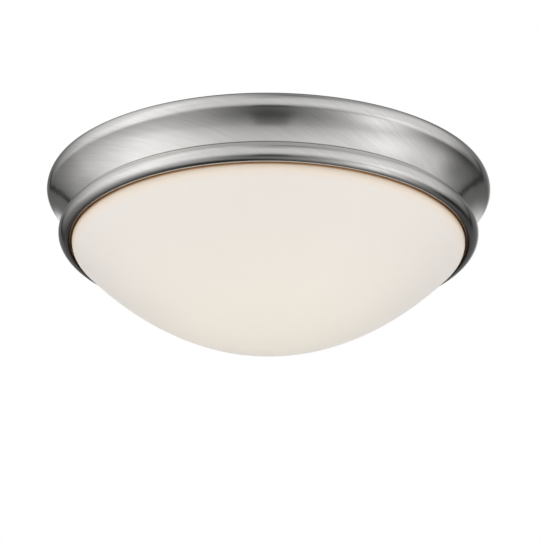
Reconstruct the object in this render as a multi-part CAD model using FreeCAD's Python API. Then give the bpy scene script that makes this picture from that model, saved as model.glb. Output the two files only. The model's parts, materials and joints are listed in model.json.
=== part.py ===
import FreeCAD, Part
import math
import os

from FreeCAD import Vector

# A two-lamp flush mount ceiling light, in millimetres. The origin is the centre of the
# ceiling plane, z = 0, +Z is up, and the fixture hangs below it.

# pan: one sheet of steel, flat on the ceiling, with a rolled edge, a cove and a skirt
pan_sheet = 0.9
pan_radius = 165.0
roll_radius = 7.0
roll_height = 7.05
shoulder_radius = 10.8
corner_radius = 1.6
cove_radius = 47.0
cove_turn = 46.0
waist_bend = 20.0
waist_turn = 16.0
skirt_end = 40.0
cut_margin = 1.0

# recess in the middle of the pan, for the mounting bars and the insulation
recess_depth = 12.0
recess_floor_radius = 54.0
recess_mouth_radius = 60.0
recess_bend = 3.0

# glass ring: a sheet bead, rounder below its widest circle than above it, open on the inside
ring_sheet = 0.8
ring_radius = 156.0
bead_upper_radius = 9.5
bead_lower_radius = 6.56
bead_depth = 42.26
ring_top_radius = 150.9
ring_lip_radius = 147.2

# opal glass bowl: an ellipse of revolution with a short neck and a flange
bowl_bottom = 126.4
bowl_semi_width = 282.4
bowl_semi_height = 515.7
bowl_edge_radius = 143.4
glass_thickness = 3.5
neck_radius = 145.9
flange_radius = 149.5
flange_bottom = 46.8
flange_top = 41.8
edge_round = 1.0
neck_round = 0.5
inside_edge_share = 0.73

gasket_height = 0.9
gasket_inner_radius = 147.6
gasket_overhang = 0.2

# flat spring ring over the flange, snapped into the widest part of the bead
snap_ring_sheet = 0.7
snap_ring_inner_radius = 146.5
snap_ring_outer_radius = 155.1
snap_ring_gap = 16.0
snap_ring_middle = 30.0

# spring catches pushed onto the skirt's edge
catch_count = 3
catch_width = 12.0
catch_sheet = 0.4
catch_first_angle = 90.0
catch_gap = 0.05
catch_tail = 6.2
catch_bulge = 2.0
catch_bulge_height = 3.5
catch_mouth = 0.9
catch_mouth_height = 5.05

# mounting bars, studs and nuts
bar_width = 20.0
bar_sheet = 1.5
bar_gap = 0.1
bar_corner = 4.0
box_bar_length = 110.0
stud_bar_length = 92.0
box_screw_spacing = 88.9
box_slot_radius = 2.5
box_slot_length = 12.0
pivot_radius = 4.5
pivot_bore = 3.2
pivot_flare = 0.9
pivot_clear = 0.05
pivot_flange_radius = 6.3
pivot_flange_height = 0.7
running_gap = 0.05
stud_spacing = 76.0
stud_radius = 2.05
stud_end = 21.5
stud_head_radius = 4.0
stud_head_height = 1.3
stud_chamfer = 0.6
nut_flats = 8.7
nut_height = 3.4
nut_flange_radius = 6.5
nut_flange_height = 1.0
keyhole_radius = 5.2
keyhole_offset = 7.0
keyhole_clear = 0.4

# insulation in the recess
pad_radius = 49.0
pad_top = 4.6
pad_wire_clear = 2.0
pad_screw_hole = 3.0
pad_stud_clear = 1.5

# way through the pan for the leads
wire_hole_x = 19.0
wire_hole_y = -19.0
wire_hole_radius = 8.0
bushing_bore = 6.6
bushing_flange_radius = 10.0
bushing_flange_height = 1.2
bushing_top = 8.6
bushing_lead_in = 0.4
bushing_fit = 0.05
bushing_barb = 0.7
bushing_taper = 0.2

# lamp holders: axes level, side by side, facing opposite ways
lamp_depth = 54.0
lamp_offset = 38.0
holder_mouth = 60.0
holder_length = 38.0
holder_radius = 18.0
holder_bore = 13.95
holder_bore_depth = 30.5
shell_sheet = 0.4
shell_bore = 13.4
shell_start = 1.5
contact_radius = 4.0
contact_stem_radius = 1.8
contact_face = 27.0
contact_sheet = 1.0
contact_stem_end = 36.0
shell_window_radius = 6.0
holder_rim = 1.4
lead_hole_offset = 6.0
lead_hole_radius = 1.3

# lamps with a 26 mm screw cap
lamp_length = 110.0
lamp_radius = 30.0
lamp_glass = 0.8
lamp_neck_radius = 12.1
neck_curve = 45.0
neck_fit = 0.05
cap_length = 26.0
cap_shell_length = 21.5
cap_radius = 13.1
cap_rim = 3.0
cap_end_radius = 9.5
cap_end_lip = 2.0
cap_end_sheet = 1.0
cap_overlap = 4.0
thread_pitch = 3.63
thread_depth = 0.7
thread_round = 1.1
thread_count = 4
lamp_tip_radius = 4.3
lamp_tip_height = 1.8
lamp_tip_round = 0.9
insulator_tip_radius = 4.6
insulator_step = 0.3
insulator_plug = 1.5
contact_gap = 0.1

# brackets that carry the lamp holders
bracket_sheet = 1.2
bracket_width = 30.0
bracket_foot = 26.0
bracket_bend = 2.0
bracket_end = 70.0
rivet_radius = 1.6
rivet_head_radius = 3.0
rivet_head_height = 1.2
rivet_offset = 11.0
rivet_end = 0.1
rivet_round = 0.9
bracket_corner = 8.0
window_top = 3.2
window_bottom = 8.4
window_side = 4.0
lead_clear = 0.7
holder_screw_radius = 1.5
holder_screw_offset = 12.0
holder_screw_depth = 6.0
holder_screw_head = 2.8
holder_screw_head_height = 1.8
holder_slot_width = 0.8
holder_slot_depth = 0.8

# leads
lead_radius = 1.0
lead_level = 5.4
lead_begin = 91.0
lead_outer = 118.0
lead_inner = 80.0
lead_top = 3.9
bend_share = 0.45

# ground screw, its ring terminal and the bare wire from it
ground_wire_radius = 0.65
ground_screw_x = 38.0
ground_screw_y = -29.0
ground_exit_x = 17.9
ground_exit_y = -22.9
ground_turn_reach = 18.0
ground_wire_start = 5.0
screw_head_radius = 3.3
screw_head_height = 2.2
screw_end = 4.0
screw_slot_width = 1.0
screw_slot_depth = 1.0
screw_slot_angle = 35.0
terminal_sheet = 0.8
terminal_radius = 4.2
barrel_radius = 1.5
barrel_drop = 2.9
barrel_start = 3.6
barrel_length = 5.0
neck_length = 0.8

# places worked out from the dimensions above
stud_bar_top = -bar_sheet - bar_gap
stud_bar_bottom = stud_bar_top - bar_sheet
barrel_level = -recess_depth - barrel_drop
holder_back = holder_mouth + holder_length
cap_start = contact_face - contact_gap - cap_length
lamp_start = contact_face - contact_gap - lamp_length
roll_centre_radius = pan_radius - roll_radius
cove_centre_radius = (
    roll_centre_radius + (roll_radius + cove_radius) * math.cos(math.radians(cove_turn))
)
waist_radius = (
    cove_centre_radius - (cove_radius - waist_bend) * math.cos(math.radians(waist_turn)) - waist_bend
)

axis = Vector(0, 0, 1)
origin = Vector(0, 0, 0)


def cylinder(radius, bottom, top, x=0.0, y=0.0):
    return Part.makeCylinder(radius, top - bottom, Vector(x, y, bottom), axis)


def block(x0, x1, y0, y1, z0, z1):
    return Part.makeBox(x1 - x0, y1 - y0, z1 - z0, Vector(x0, y0, z0))


def copy_turned(shape, angle):
    turned_copy = shape.copy()
    turned_copy.rotate(origin, axis, angle)
    return turned_copy


# Sections are drawn in the XZ plane, as radius and height, and turned about the Z axis.


def on_section(radius, height):
    return Vector(radius, 0, height)


def around(centre, radius, angle):
    return centre + Vector(math.cos(math.radians(angle)), 0, math.sin(math.radians(angle))) * radius


def arc(centre, radius, start, end):
    points = [around(centre, radius, angle) for angle in (start, (start + end) / 2, end)]
    return Part.Arc(*points).toShape()


def line(start, end):
    return Part.LineSegment(start, end).toShape()


def rounded_path(points, radii):
    # straight runs joined by tangent arcs, one radius for each inner point
    edges = []
    start = points[0]
    for before, corner, after, radius in zip(points, points[1:], points[2:], radii):
        back = (before - corner).normalize()
        ahead = (after - corner).normalize()
        half = back.getAngle(ahead) / 2
        inward = (back + ahead).normalize()
        arc_start = corner + back * (radius / math.tan(half))
        arc_middle = corner + inward * (radius / math.sin(half) - radius)
        arc_end = corner + ahead * (radius / math.tan(half))
        if start.distanceToPoint(arc_start) > 1e-6:
            edges.append(line(start, arc_start))
        edges.append(Part.Arc(arc_start, arc_middle, arc_end).toShape())
        start = arc_end
    if start.distanceToPoint(points[-1]) > 1e-6:
        edges.append(line(start, points[-1]))
    return edges


def sheet_section(edges, thickness):
    # the sign of the thickness picks the side of the path that the sheet lies on
    return Part.Wire(edges).makeOffset2D(thickness, 0, True, True, False)


def section(edges):
    return Part.Face(Part.Wire(edges))


def turned(face, sweep=360.0, middle=0.0):
    start = copy_turned(face, middle - sweep / 2)
    return start.revolve(origin, axis, sweep)


# Pan and what is fixed to it.


def pan_edges():
    roll_centre = on_section(roll_centre_radius, -roll_height)
    shoulder_centre = on_section(pan_radius - shoulder_radius, -roll_height)
    cove_centre = around(roll_centre, roll_radius + cove_radius, -cove_turn)
    bend_centre = around(cove_centre, cove_radius - waist_bend, 180 - waist_turn)
    reach = shoulder_radius - corner_radius
    drop = roll_height - corner_radius
    corner_centre = shoulder_centre + Vector(math.sqrt(reach**2 - drop**2), 0, drop)
    shoulder_angle = math.degrees(math.asin(drop / reach))
    floor_height = pan_sheet - recess_depth
    back = rounded_path(
        [
            on_section(0, floor_height),
            on_section(recess_floor_radius, floor_height),
            on_section(recess_mouth_radius, 0),
            around(corner_centre, corner_radius, 90),
        ],
        [recess_bend, recess_bend],
    )
    side = [
        arc(corner_centre, corner_radius, 90, shoulder_angle),
        arc(shoulder_centre, shoulder_radius, shoulder_angle, 0),
        arc(roll_centre, roll_radius, 0, -cove_turn),
        arc(cove_centre, cove_radius, 180 - cove_turn, 180 - waist_turn),
        arc(bend_centre, waist_bend, 180 - waist_turn, 180),
        line(around(bend_centre, waist_bend, 180), on_section(waist_radius, -skirt_end)),
    ]
    return back + side


def keyhole(side):
    # a round hole beside the stud, with a slot from it that ends at the stud
    top = 0.0
    bottom = -recess_depth - cut_margin
    half_slot = stud_radius + keyhole_clear
    slot_end = cylinder(half_slot, bottom, top)
    slot = block(-half_slot, half_slot, 0, keyhole_offset, bottom, top)
    hole = cylinder(keyhole_radius, bottom, top, 0, keyhole_offset)
    shape = slot_end.fuse([slot, hole])
    shape.translate(Vector(side * stud_spacing / 2, 0, 0))
    return shape


def rivet_places():
    places = []
    for side in (1, -1):
        for step in (1, -1):
            across = lamp_offset + step * rivet_offset
            places.append((side * (holder_back + bracket_foot / 2), side * across))
    return places


def build_pan():
    bottom = -recess_depth - cut_margin
    holes = [cylinder(wire_hole_radius, bottom, 0, wire_hole_x, wire_hole_y)]
    holes.append(cylinder(stud_radius, bottom, 0, ground_screw_x, ground_screw_y))
    holes += [cylinder(rivet_radius, bottom, cut_margin, x, y) for x, y in rivet_places()]
    holes += [keyhole(side) for side in (1, -1)]
    return turned(sheet_section(pan_edges(), -pan_sheet)).cut(holes)


def build_insulation_pad():
    bottom = pan_sheet - recess_depth
    pad = cylinder(pad_radius, bottom, -pad_top)
    holes = [cylinder(wire_hole_radius + pad_wire_clear, bottom, -pad_top, wire_hole_x, wire_hole_y)]
    holes.append(cylinder(pad_screw_hole, bottom, -pad_top, ground_screw_x, ground_screw_y))
    for side in (1, -1):
        holes.append(cylinder(stud_radius + pad_stud_clear, bottom, -pad_top, side * stud_spacing / 2))
    return pad.cut(holes)


def build_wire_bushing():
    # snap bushing: a flange under the pan, a neck through it and a barbed end above
    floor_top = pan_sheet - recess_depth
    neck = wire_hole_radius - bushing_fit
    start = on_section(bushing_bore, -recess_depth - bushing_lead_in)
    edges = rounded_path(
        [
            start,
            on_section(bushing_bore, -recess_depth - bushing_flange_height),
            on_section(bushing_flange_radius, -recess_depth - bushing_flange_height),
            on_section(bushing_flange_radius, -recess_depth),
            on_section(neck, -recess_depth),
            on_section(neck, floor_top),
            on_section(neck + bushing_barb, floor_top),
            on_section(neck - bushing_taper, -bushing_top),
            on_section(bushing_bore, -bushing_top),
            start,
        ],
        [0.3, 0.4, 0.3, 0.05, 0.05, 0.2, 0.2, 0.3],
    )
    shape = turned(section(edges))
    shape.translate(Vector(wire_hole_x, wire_hole_y, 0))
    return shape


def bar(half_length, half_width, bottom, top):
    shape = block(-half_length, half_length, -half_width, half_width, bottom, top)
    upright = [edge for edge in shape.Edges if edge.tangentAt(edge.FirstParameter).cross(axis).Length < 0.1]
    return shape.makeFillet(bar_corner, upright)


def pivot_cone(clearance):
    mouth = pivot_radius + pivot_flare + clearance
    return Part.makeCone(pivot_radius + clearance, mouth, pivot_flare, Vector(0, 0, -pivot_flare), axis)


def build_box_bar():
    # lies across the outlet box, with a slot for each box screw
    shape = copy_turned(bar(box_bar_length / 2, bar_width / 2, -bar_sheet, 0), 90)
    straight = box_slot_length / 2 - box_slot_radius
    cuts = [cylinder(pivot_radius + running_gap, -bar_sheet, 0), pivot_cone(running_gap)]
    for side in (1, -1):
        middle = side * box_screw_spacing / 2
        for end in (-straight, straight):
            cuts.append(cylinder(box_slot_radius, -bar_sheet, 0, 0, middle + end))
        cuts.append(
            block(-box_slot_radius, box_slot_radius, middle - straight, middle + straight, -bar_sheet, 0)
        )
    return shape.cut(cuts)


def build_stud_bar():
    shape = bar(stud_bar_length / 2, bar_width / 2, stud_bar_bottom, stud_bar_top)
    cuts = [cylinder(pivot_radius, stud_bar_bottom, stud_bar_top)]
    for side in (1, -1):
        cuts.append(cylinder(stud_radius, stud_bar_bottom, stud_bar_top, side * stud_spacing / 2))
    return shape.cut(cuts)


def build_bar_pivot():
    # a hollow rivet: closed over below the lower bar, flared into the upper one
    tube = cylinder(pivot_radius, stud_bar_bottom, -pivot_clear)
    flange_bottom_level = stud_bar_bottom - pivot_flange_height
    flange = cylinder(pivot_flange_radius, flange_bottom_level, stud_bar_bottom)
    flare = pivot_cone(0.0).common(cylinder(pivot_flange_radius, -pivot_flare, -pivot_clear))
    return tube.fuse([flange, flare]).cut(cylinder(pivot_bore, flange_bottom_level, 0)).removeSplitter()


def build_mounting_studs():
    studs = []
    for side in (1, -1):
        x = side * stud_spacing / 2
        head = cylinder(stud_head_radius, stud_bar_top, stud_bar_top + stud_head_height, x)
        shank = cylinder(stud_radius, stud_chamfer - stud_end, stud_bar_top, x)
        tip_radius = stud_radius - stud_chamfer
        tip = Part.makeCone(tip_radius, stud_radius, stud_chamfer, Vector(x, 0, -stud_end), axis)
        studs.append(head.fuse([shank, tip]).removeSplitter())
    return Part.makeCompound(studs)


def hexagon(flats, bottom, top, x):
    corners = [
        Vector(x, 0, bottom)
        + Vector(math.cos(math.radians(angle)), math.sin(math.radians(angle)), 0) * flats / math.sqrt(3)
        for angle in range(0, 361, 60)
    ]
    face = Part.Face(Part.makePolygon(corners))
    return face.extrude(Vector(0, 0, top - bottom))


def build_stud_nuts():
    nuts = []
    for side in (1, -1):
        x = side * stud_spacing / 2
        seat = -recess_depth - nut_flange_height
        body = hexagon(nut_flats, seat - nut_height, seat, x)
        half_flats = nut_flats / 2
        slant = 2 * nut_height
        bottom = Vector(x, 0, seat - nut_height)
        chamfer = Part.makeCone(half_flats, half_flats + slant, slant, bottom, axis)
        flange = cylinder(nut_flange_radius, seat, -recess_depth, x)
        nut = body.common(chamfer).fuse(flange)
        nuts.append(nut.cut(cylinder(stud_radius, -stud_end, 0, x)))
    return Part.makeCompound(nuts)


def ground_direction():
    return Vector(ground_exit_x - ground_screw_x, ground_exit_y - ground_screw_y, 0).normalize()


def build_ground_screw():
    seat = -recess_depth - terminal_sheet
    shank = cylinder(stud_radius, seat, screw_end - recess_depth, ground_screw_x, ground_screw_y)
    half_slot = screw_slot_width / 2
    head_bottom = seat - screw_head_height
    slot_top = head_bottom + screw_slot_depth
    head = cylinder(screw_head_radius, head_bottom, seat, ground_screw_x, ground_screw_y)
    slot = block(-screw_head_radius, screw_head_radius, -half_slot, half_slot, head_bottom, slot_top)
    slot.rotate(origin, axis, screw_slot_angle)
    slot.translate(Vector(ground_screw_x, ground_screw_y, 0))
    return head.fuse(shank).cut(slot)


def build_ground_terminal():
    # ring tongue under the screw's head, with a barrel round the wire's end
    seat = -recess_depth - terminal_sheet
    ring = cylinder(terminal_radius, seat, -recess_depth, ground_screw_x, ground_screw_y)
    along = ground_direction()
    screw = Vector(ground_screw_x, ground_screw_y, barrel_level)
    barrel = Part.makeCylinder(barrel_radius, barrel_length, screw + along * barrel_start, along)
    bore = Part.makeCylinder(ground_wire_radius, barrel_length, screw + along * ground_wire_start, along)
    neck = block(-neck_length / 2, neck_length / 2, -barrel_radius, barrel_radius, barrel_level, seat)
    neck.rotate(origin, axis, math.degrees(math.atan2(along.y, along.x)))
    neck.translate(Vector(screw.x, screw.y, 0) + along * (barrel_start + neck_length / 2))
    hole = cylinder(stud_radius, seat, -recess_depth, ground_screw_x, ground_screw_y)
    return ring.fuse([barrel, neck]).cut([hole, bore]).removeSplitter()


# Lamp holders, lamps and brackets. Each is drawn for the first lamp, and turned half a turn
# for the second. Along the lamp, distance is measured from the holder's mouth to its back.


def along_lamp(shape):
    laid = shape.copy()
    laid.rotate(origin, Vector(0, 1, 0), 90)
    laid.translate(Vector(holder_mouth, lamp_offset, -lamp_depth))
    return laid


def build_lamp_holder():
    edges = rounded_path(
        [
            on_section(0, holder_bore_depth),
            on_section(holder_bore, holder_bore_depth),
            on_section(holder_bore, 0),
            on_section(holder_radius, 0),
            on_section(holder_radius, holder_length),
            on_section(0, holder_length),
        ],
        [0.1, holder_rim / 2, holder_rim, holder_rim],
    )
    edges.append(line(on_section(0, holder_length), on_section(0, holder_bore_depth)))
    body = turned(section(edges))
    bore_end = holder_bore_depth - cut_margin
    cuts = [cylinder(contact_stem_radius, bore_end, contact_stem_end)]
    start = holder_length - holder_screw_depth
    for step in (1, -1):
        cuts.append(cylinder(lead_hole_radius, bore_end, holder_length, 0, step * lead_hole_offset))
        cuts.append(cylinder(holder_screw_radius, start, holder_length, step * holder_screw_offset))
    return along_lamp(body.cut(cuts))


def build_screw_shell():
    cup = cylinder(shell_bore + shell_sheet, shell_start, holder_bore_depth)
    inside = cylinder(shell_bore, shell_start, holder_bore_depth - shell_sheet)
    window = cylinder(shell_window_radius, 0, holder_bore_depth)
    return along_lamp(cup.cut([inside, window]))


def build_centre_contact():
    button_end = contact_face + contact_sheet
    button = cylinder(contact_radius, contact_face, button_end)
    stem = cylinder(contact_stem_radius, button_end, contact_stem_end)
    return along_lamp(button.fuse(stem))


def build_lamp_glass():
    # a round end that runs through a long concave curve into a straight neck
    end = lamp_start
    ball_centre = on_section(0, end + lamp_radius)
    neck_curve_centre_radius = lamp_neck_radius + neck_curve
    rise = math.sqrt((lamp_radius + neck_curve) ** 2 - neck_curve_centre_radius**2)
    neck_curve_centre = on_section(neck_curve_centre_radius, ball_centre.z + rise)
    join = math.degrees(math.atan2(rise, neck_curve_centre_radius))
    neck_start = on_section(lamp_neck_radius, neck_curve_centre.z)
    edges = [
        arc(ball_centre, lamp_radius, -90, join),
        arc(neck_curve_centre, neck_curve, 180 + join, 180),
        line(neck_start, on_section(lamp_neck_radius, cap_start + cap_overlap)),
    ]
    return along_lamp(turned(sheet_section(edges, lamp_glass)))


def build_lamp_cap():
    # screw cap whose thread is drawn as rounded ridges at the thread's pitch
    ridge_start = cap_start + cap_rim
    root_radius = cap_radius - thread_depth
    outline = [on_section(cap_radius, cap_start), on_section(cap_radius, ridge_start)]
    for turn in range(thread_count):
        middle = ridge_start + thread_pitch * (turn + 0.5)
        outline.append(on_section(root_radius, middle))
        outline.append(on_section(cap_radius, middle + thread_pitch / 2))
    ridge_end = outline[-1].z
    outline.append(on_section(root_radius, ridge_end + thread_pitch / 2))
    outline.append(on_section(cap_end_radius, cap_start + cap_shell_length))
    cap_end = cap_start + cap_shell_length
    inside = [
        on_section(cap_end_radius - cap_end_sheet, cap_end),
        on_section(cap_end_radius - cap_end_sheet, cap_end - cap_end_lip),
        on_section(lamp_neck_radius + neck_fit, ridge_end),
        on_section(lamp_neck_radius + neck_fit, cap_start),
    ]
    radii = [0.5] + [thread_round] * (2 * thread_count + 1)
    outer_edges = rounded_path(outline, radii)
    inner_edges = rounded_path([outline[-1]] + inside + [outline[0]], [0.1, 0.3, 1.0, 0.1])
    return along_lamp(turned(section(outer_edges + inner_edges)))


def build_lamp_insulator():
    start = cap_start + cap_shell_length
    end = contact_face - contact_gap - lamp_tip_height
    foot_radius = cap_end_radius - insulator_step
    cone = Part.makeCone(foot_radius, insulator_tip_radius, end - start, Vector(0, 0, start), axis)
    plug = cylinder(cap_end_radius - cap_end_sheet, start - insulator_plug, start)
    return along_lamp(cone.fuse(plug))


def build_lamp_tip():
    end = contact_face - contact_gap
    button = cylinder(lamp_tip_radius, end - lamp_tip_height, end)
    rim = [edge for edge in button.Edges if edge.CenterOfMass.z > end - contact_gap]
    return along_lamp(button.makeFillet(lamp_tip_round, rim))


def build_holder_bracket():
    outline = rounded_path(
        [
            Vector(holder_back + bracket_foot, 0, -pan_sheet),
            Vector(holder_back, 0, -pan_sheet),
            Vector(holder_back, 0, -bracket_end),
        ],
        [bracket_bend + bracket_sheet],
    )
    side = lamp_offset - bracket_width / 2
    strip = sheet_section(outline, bracket_sheet)
    strip.translate(Vector(0, side, 0))
    shape = strip.extrude(Vector(0, bracket_width, 0))
    corners = [
        edge
        for edge in shape.Edges
        if edge.BoundBox.ZMax < bracket_bend - bracket_end and edge.Length < 2 * bracket_sheet
    ]
    shape = shape.makeFillet(bracket_corner, corners)
    back = Vector(holder_back - cut_margin, lamp_offset, -lamp_depth)
    through = bracket_sheet + 2 * cut_margin
    outward = Vector(1, 0, 0)
    cuts = []
    for step in (1, -1):
        lead = back + Vector(0, step * lead_hole_offset, 0)
        cuts.append(Part.makeCylinder(lead_hole_radius + lead_clear, through, lead, outward))
        screw = back + Vector(0, 0, step * holder_screw_offset)
        cuts.append(Part.makeCylinder(holder_screw_radius, through, screw, outward))
        rivet_y = lamp_offset + step * rivet_offset
        cuts.append(cylinder(rivet_radius, -through - cut_margin, 0, holder_back + bracket_foot / 2, rivet_y))
    half_window = lead_hole_offset + window_side
    cuts.append(
        block(
            back.x,
            holder_back + bracket_sheet + bracket_bend + cut_margin,
            lamp_offset - half_window,
            lamp_offset + half_window,
            -window_bottom,
            -window_top,
        )
    )
    return shape.cut(cuts)


def build_bracket_rivets():
    rivets = []
    foot_bottom = -pan_sheet - bracket_sheet
    for x, y in rivet_places():
        shank = cylinder(rivet_radius, foot_bottom, -rivet_end, x, y)
        head = cylinder(rivet_head_radius, foot_bottom - rivet_head_height, foot_bottom, x, y)
        rim = [edge for edge in head.Edges if edge.BoundBox.ZMax < foot_bottom - rivet_end]
        rivets.append(head.makeFillet(rivet_round, rim).fuse(shank))
    return Part.makeCompound(rivets)


def build_holder_screws():
    screws = []
    inward = Vector(-1, 0, 0)
    outward = Vector(1, 0, 0)
    half_slot = Vector(0, holder_screw_head, holder_slot_width / 2)
    slot_start = Vector(holder_screw_head_height - holder_slot_depth, 0, 0) - half_slot
    for step in (1, -1):
        start = Vector(holder_back + bracket_sheet, lamp_offset, step * holder_screw_offset - lamp_depth)
        shank = Part.makeCylinder(holder_screw_radius, holder_screw_depth + bracket_sheet, start, inward)
        head = Part.makeCylinder(holder_screw_head, holder_screw_head_height, start, outward)
        slot = Part.makeBox(holder_slot_depth, 2 * holder_screw_head, holder_slot_width, start + slot_start)
        screw = head.fuse(shank).cut(slot)
        screws += [screw, copy_turned(screw, 180)]
    return Part.makeCompound(screws)


# Leads: straight runs joined by arcs as large as their runs allow.


def lead(points, radius, name):
    radii = []
    for before, corner, after in zip(points, points[1:], points[2:]):
        back = before - corner
        ahead = after - corner
        half_turn = (math.pi - back.getAngle(ahead)) / 2
        radii.append(bend_share * min(back.Length, ahead.Length) / math.tan(half_turn))
    edges = rounded_path(points, radii)
    path = Part.Wire(edges)
    start = (points[1] - points[0]).normalize()
    profile = Part.Wire(Part.makeCircle(radius, points[0], start))
    tube = path.makePipeShell([profile], True, False)
    share = tube.Volume / (math.pi * radius**2 * path.Length)
    print(name, "bend radii", [round(value, 1) for value in radii], "volume share", round(share, 4))
    return tube


def lead_start(side, step):
    # from the holder's back out to the pan's side, up to the pan and back towards its middle
    across = lamp_offset + step * lead_hole_offset
    return [
        Vector(side * lead_begin, side * across, -lamp_depth),
        Vector(side * lead_outer, side * across, -lamp_depth),
        Vector(side * lead_outer, side * across, -lead_level),
        Vector(side * lead_inner, side * across, -lead_level),
    ]


def build_first_lead(step, name):
    points = lead_start(1, step)
    points += [
        Vector(58 - 1.7 * step, 14 + 1.1 * step, -15.0),
        Vector(46 - 1.4 * step, -11 + 1.4 * step, -22.5),
        Vector(wire_hole_x + 3.0, wire_hole_y + 2.4 * step, -24.5),
        Vector(wire_hole_x + 2.4, wire_hole_y + 2.4 * step, -lead_top),
    ]
    return lead(points, lead_radius, name)


def build_second_lead(step, name):
    points = lead_start(-1, step)
    points += [
        Vector(-58, -15 - 2.0 * step, -14.0),
        Vector(-31, -12 - 2.0 * step, -20.0),
        Vector(-5, -16 - 2.2 * step, -23.8),
        Vector(wire_hole_x - 3.0, wire_hole_y - 2.4 * step, -24.5),
        Vector(wire_hole_x - 2.4, wire_hole_y - 2.4 * step, -lead_top),
    ]
    return lead(points, lead_radius, name)


def build_ground_wire():
    along = ground_direction()
    points = [
        Vector(ground_screw_x, ground_screw_y, barrel_level) + along * ground_wire_start,
        Vector(ground_screw_x, ground_screw_y, barrel_level) + along * ground_turn_reach,
        Vector(ground_exit_x, ground_exit_y, -lead_top),
    ]
    return lead(points, ground_wire_radius, "ground_wire")


# Glass ring, bowl and what holds them.


def build_glass_ring():
    upper = on_section(ring_radius - bead_upper_radius, -bead_depth)
    lower = on_section(ring_radius - bead_lower_radius, -bead_depth)
    top = math.degrees(math.acos((ring_top_radius - upper.x) / bead_upper_radius))
    lip = -math.degrees(math.acos((ring_lip_radius - lower.x) / bead_lower_radius))
    outer_top = around(upper, bead_upper_radius, top)
    outer_lip = around(lower, bead_lower_radius, lip)
    inner_top = around(upper, bead_upper_radius - ring_sheet, top)
    inner_lip = around(lower, bead_lower_radius - ring_sheet, lip)
    edges = [
        arc(upper, bead_upper_radius, top, 0),
        arc(lower, bead_lower_radius, 0, lip),
        line(outer_lip, inner_lip),
        arc(lower, bead_lower_radius - ring_sheet, lip, 0),
        arc(upper, bead_upper_radius - ring_sheet, 0, top),
        line(inner_top, outer_top),
    ]
    return turned(section(edges))


def bowl_side(semi_width, semi_height, edge, neck):
    # ellipse from the bottom to the edge, then an arc that turns upright into the neck
    centre_height = bowl_semi_height - bowl_bottom
    middle = on_section(0, centre_height)
    ellipse = Part.Ellipse(
        on_section(0, centre_height - semi_height), on_section(semi_width, centre_height), middle
    )
    turn = math.asin(edge / semi_width)
    slope = math.atan2(semi_height * math.sin(turn), semi_width * math.cos(turn))
    curve = ellipse.toShape(0, turn)
    edge_height = centre_height - semi_height * math.cos(turn)
    facing = math.degrees(slope) - 90
    radius = (neck - edge) / (1 - math.cos(math.radians(facing)))
    centre = on_section(neck - radius, edge_height - radius * math.sin(math.radians(facing)))
    return [curve, arc(centre, radius, facing, 0)], around(centre, radius, 0)


def build_glass_bowl():
    outer, outer_neck = bowl_side(bowl_semi_width, bowl_semi_height, bowl_edge_radius, neck_radius)
    inner, inner_neck = bowl_side(
        bowl_semi_width - glass_thickness,
        bowl_semi_height - glass_thickness,
        bowl_edge_radius - glass_thickness * inside_edge_share,
        neck_radius - glass_thickness,
    )
    flange = rounded_path(
        [
            outer_neck,
            on_section(neck_radius, -flange_bottom),
            on_section(flange_radius, -flange_bottom),
            on_section(flange_radius, -flange_top),
            on_section(neck_radius - glass_thickness, -flange_top),
            inner_neck,
        ],
        [neck_round, edge_round / 2, edge_round, edge_round],
    )
    bottom = line(on_section(0, -bowl_bottom), on_section(0, glass_thickness - bowl_bottom))
    edges = Part.__sortEdges__(outer + inner + flange + [bottom])
    return turned(section(edges))


def build_glass_gasket():
    bottom = -flange_bottom - gasket_height
    ring = cylinder(flange_radius + gasket_overhang, bottom, -flange_bottom)
    return ring.cut(cylinder(gasket_inner_radius, bottom, -flange_bottom))


def build_snap_ring():
    inner_edge = on_section(snap_ring_inner_radius, -flange_top)
    outer_edge = on_section(snap_ring_outer_radius, -flange_top)
    up = on_section(0, snap_ring_sheet)
    corners = [inner_edge, outer_edge, outer_edge + up, inner_edge + up, inner_edge]
    return turned(Part.Face(Part.makePolygon(corners)), 360 - snap_ring_gap, snap_ring_middle)


def build_ring_catch(number):
    # a spring clip over the skirt's edge, bulged outwards under the ring's top edge
    inner = waist_radius - pan_sheet - catch_gap
    bottom = -skirt_end - 3 * catch_gap
    edges = rounded_path(
        [
            on_section(inner, catch_tail - skirt_end),
            on_section(inner, bottom),
            on_section(waist_radius + 2 * catch_gap, bottom),
            on_section(waist_radius + catch_bulge, catch_bulge_height - skirt_end),
            on_section(waist_radius + catch_mouth, catch_mouth_height - skirt_end),
        ],
        [0.2, 0.3, 0.9],
    )
    angle = catch_first_angle + 360 / catch_count * number
    sweep = math.degrees(catch_width / waist_radius)
    return turned(sheet_section(edges, -catch_sheet), sweep, angle)


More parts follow.
